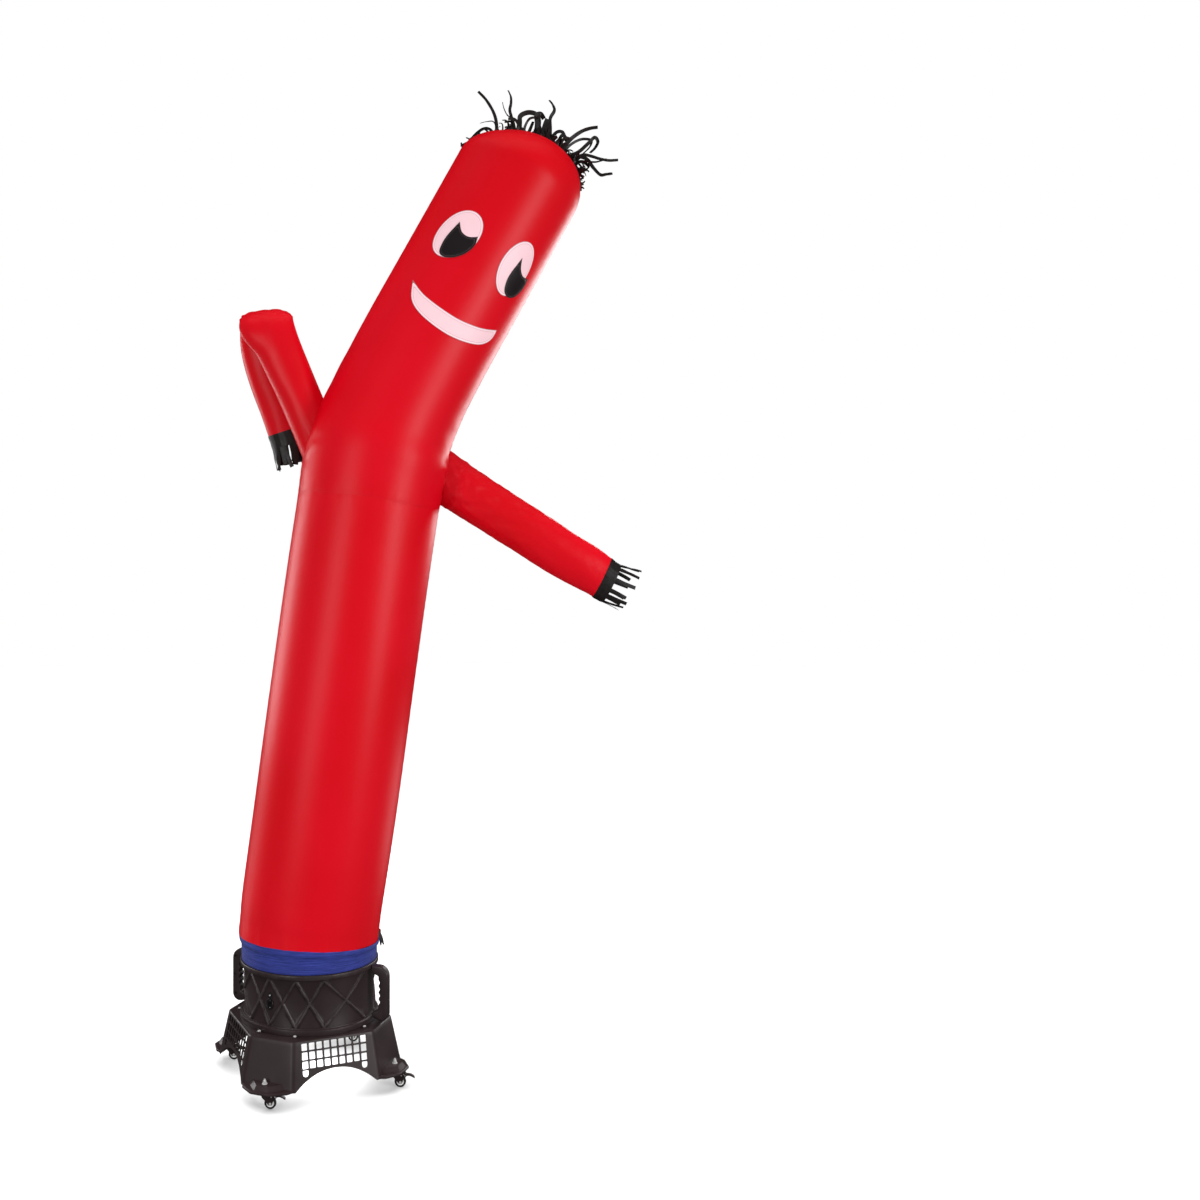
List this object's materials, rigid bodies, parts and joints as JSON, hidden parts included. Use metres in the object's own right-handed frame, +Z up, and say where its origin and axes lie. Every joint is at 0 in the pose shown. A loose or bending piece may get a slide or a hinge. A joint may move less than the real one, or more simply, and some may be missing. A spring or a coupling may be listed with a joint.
{
  "type": "inflatable air dancer on a blower",
  "caption": "Leaning inflated tube figure with two arms, strip fringes and a sewn smiling face, standing on a drum blower on casters.",
  "frame": {"origin": "centre of the object's bounding box, on the floor under the tyres", "axes": "+Z up; -Y towards the face; +X the way the figure leans; the blower's upright axis stands at X = -0.410 m, Y = 0"},
  "size_m": [1.5007, 0.68, 3.3318],
  "materials": {
    "red_cloth": "thin coated nylon, soft sheen",
    "black_cloth": "thin coated nylon, soft sheen",
    "white_cloth": "thin coated nylon over red",
    "blue_band": "stitched webbing, matt",
    "black_strap": "woven strap",
    "hook_tape": "hook fastener, rough",
    "housing": "moulded, satin",
    "black_wire": "moulded, satin",
    "motor_case": "painted",
    "fan": "moulded, satin",
    "black_steel": "black plated",
    "plated_steel": "zinc plated",
    "fork": "painted, half gloss",
    "tyre": "smooth",
    "hub": "moulded, half gloss"
  },
  "bodies": {
    "root": {"tube_lower": "red_cloth", "tube_upper": "red_cloth", "arm_left": "red_cloth", "arm_right": "red_cloth", "hand_fringe_left": "black_cloth", "hand_fringe_right": "black_cloth", "hair_fringe": "black_cloth", "pupil_left": "black_cloth", "pupil_right": "black_cloth", "eye_white_left": "white_cloth", "eye_white_right": "white_cloth", "smile": "white_cloth", "base_band": "blue_band", "band_tail": "black_strap", "hook_tape": "hook_tape", "drum": "housing", "skirt": "housing", "handle_left": "housing", "handle_right": "housing", "outlet_guard": "black_wire", "motor_mount": "black_wire", "motor": "motor_case", "tether_plate": "black_steel", "tether_ring": "black_steel", "caster_bolt_1": "plated_steel", "caster_bolt_2": "plated_steel", "caster_bolt_3": "plated_steel", "caster_bolt_4": "plated_steel"},
    "rotor": {"fan_rotor": "fan"},
    "fork_1": {"caster_fork_1": "fork", "caster_axle_1": "plated_steel"},
    "wheel_1": {"caster_tyre_1": "tyre", "caster_hub_1": "hub"},
    "pedal_1": {"caster_pedal_1": "fork"},
    "fork_2": {"caster_fork_2": "fork", "caster_axle_2": "plated_steel"},
    "wheel_2": {"caster_tyre_2": "tyre", "caster_hub_2": "hub"},
    "pedal_2": {"caster_pedal_2": "fork"},
    "fork_3": {"caster_fork_3": "fork", "caster_axle_3": "plated_steel"},
    "wheel_3": {"caster_tyre_3": "tyre", "caster_hub_3": "hub"},
    "pedal_3": {"caster_pedal_3": "fork"},
    "fork_4": {"caster_fork_4": "fork", "caster_axle_4": "plated_steel"},
    "wheel_4": {"caster_tyre_4": "tyre", "caster_hub_4": "hub"},
    "pedal_4": {"caster_pedal_4": "fork"}
  },
  "joints": [
    {"name": "fan_spin", "type": "hinge", "parent": "root", "child": "rotor", "pos_m": [-0.4104, 0, 0.29], "axis": [0, 0, 1], "continuous": true},
    {"name": "caster_1_swivel", "type": "hinge", "parent": "root", "child": "fork_1", "pos_m": [-0.53044, -0.29123, 0.0471], "axis": [0, 0, 1], "continuous": true},
    {"name": "caster_1_roll", "type": "hinge", "parent": "fork_1", "child": "wheel_1", "pos_m": [-0.51244, -0.29123, 0.019], "axis": [0, 1, 0], "continuous": true},
    {"name": "caster_1_brake", "type": "hinge", "parent": "fork_1", "child": "pedal_1", "pos_m": [-0.49744, -0.29123, 0.04], "axis": [0, 1, 0], "range_deg": [-10, 0]},
    {"name": "caster_2_swivel", "type": "hinge", "parent": "root", "child": "fork_2", "pos_m": [-0.11917, -0.12004, 0.0471], "axis": [0, 0, 1], "continuous": true},
    {"name": "caster_2_roll", "type": "hinge", "parent": "fork_2", "child": "wheel_2", "pos_m": [-0.10117, -0.12004, 0.019], "axis": [0, 1, 0], "continuous": true},
    {"name": "caster_2_brake", "type": "hinge", "parent": "fork_2", "child": "pedal_2", "pos_m": [-0.08617, -0.12004, 0.04], "axis": [0, 1, 0], "range_deg": [-10, 0]},
    {"name": "caster_3_swivel", "type": "hinge", "parent": "root", "child": "fork_3", "pos_m": [-0.29036, 0.29123, 0.0471], "axis": [0, 0, 1], "continuous": true},
    {"name": "caster_3_roll", "type": "hinge", "parent": "fork_3", "child": "wheel_3", "pos_m": [-0.27236, 0.29123, 0.019], "axis": [0, 1, 0], "continuous": true},
    {"name": "caster_3_brake", "type": "hinge", "parent": "fork_3", "child": "pedal_3", "pos_m": [-0.25736, 0.29123, 0.04], "axis": [0, 1, 0], "range_deg": [-10, 0]},
    {"name": "caster_4_swivel", "type": "hinge", "parent": "root", "child": "fork_4", "pos_m": [-0.70163, 0.12004, 0.0471], "axis": [0, 0, 1], "continuous": true},
    {"name": "caster_4_roll", "type": "hinge", "parent": "fork_4", "child": "wheel_4", "pos_m": [-0.68363, 0.12004, 0.019], "axis": [0, 1, 0], "continuous": true},
    {"name": "caster_4_brake", "type": "hinge", "parent": "fork_4", "child": "pedal_4", "pos_m": [-0.66863, 0.12004, 0.04], "axis": [0, 1, 0], "range_deg": [-10, 0]}
  ]
}
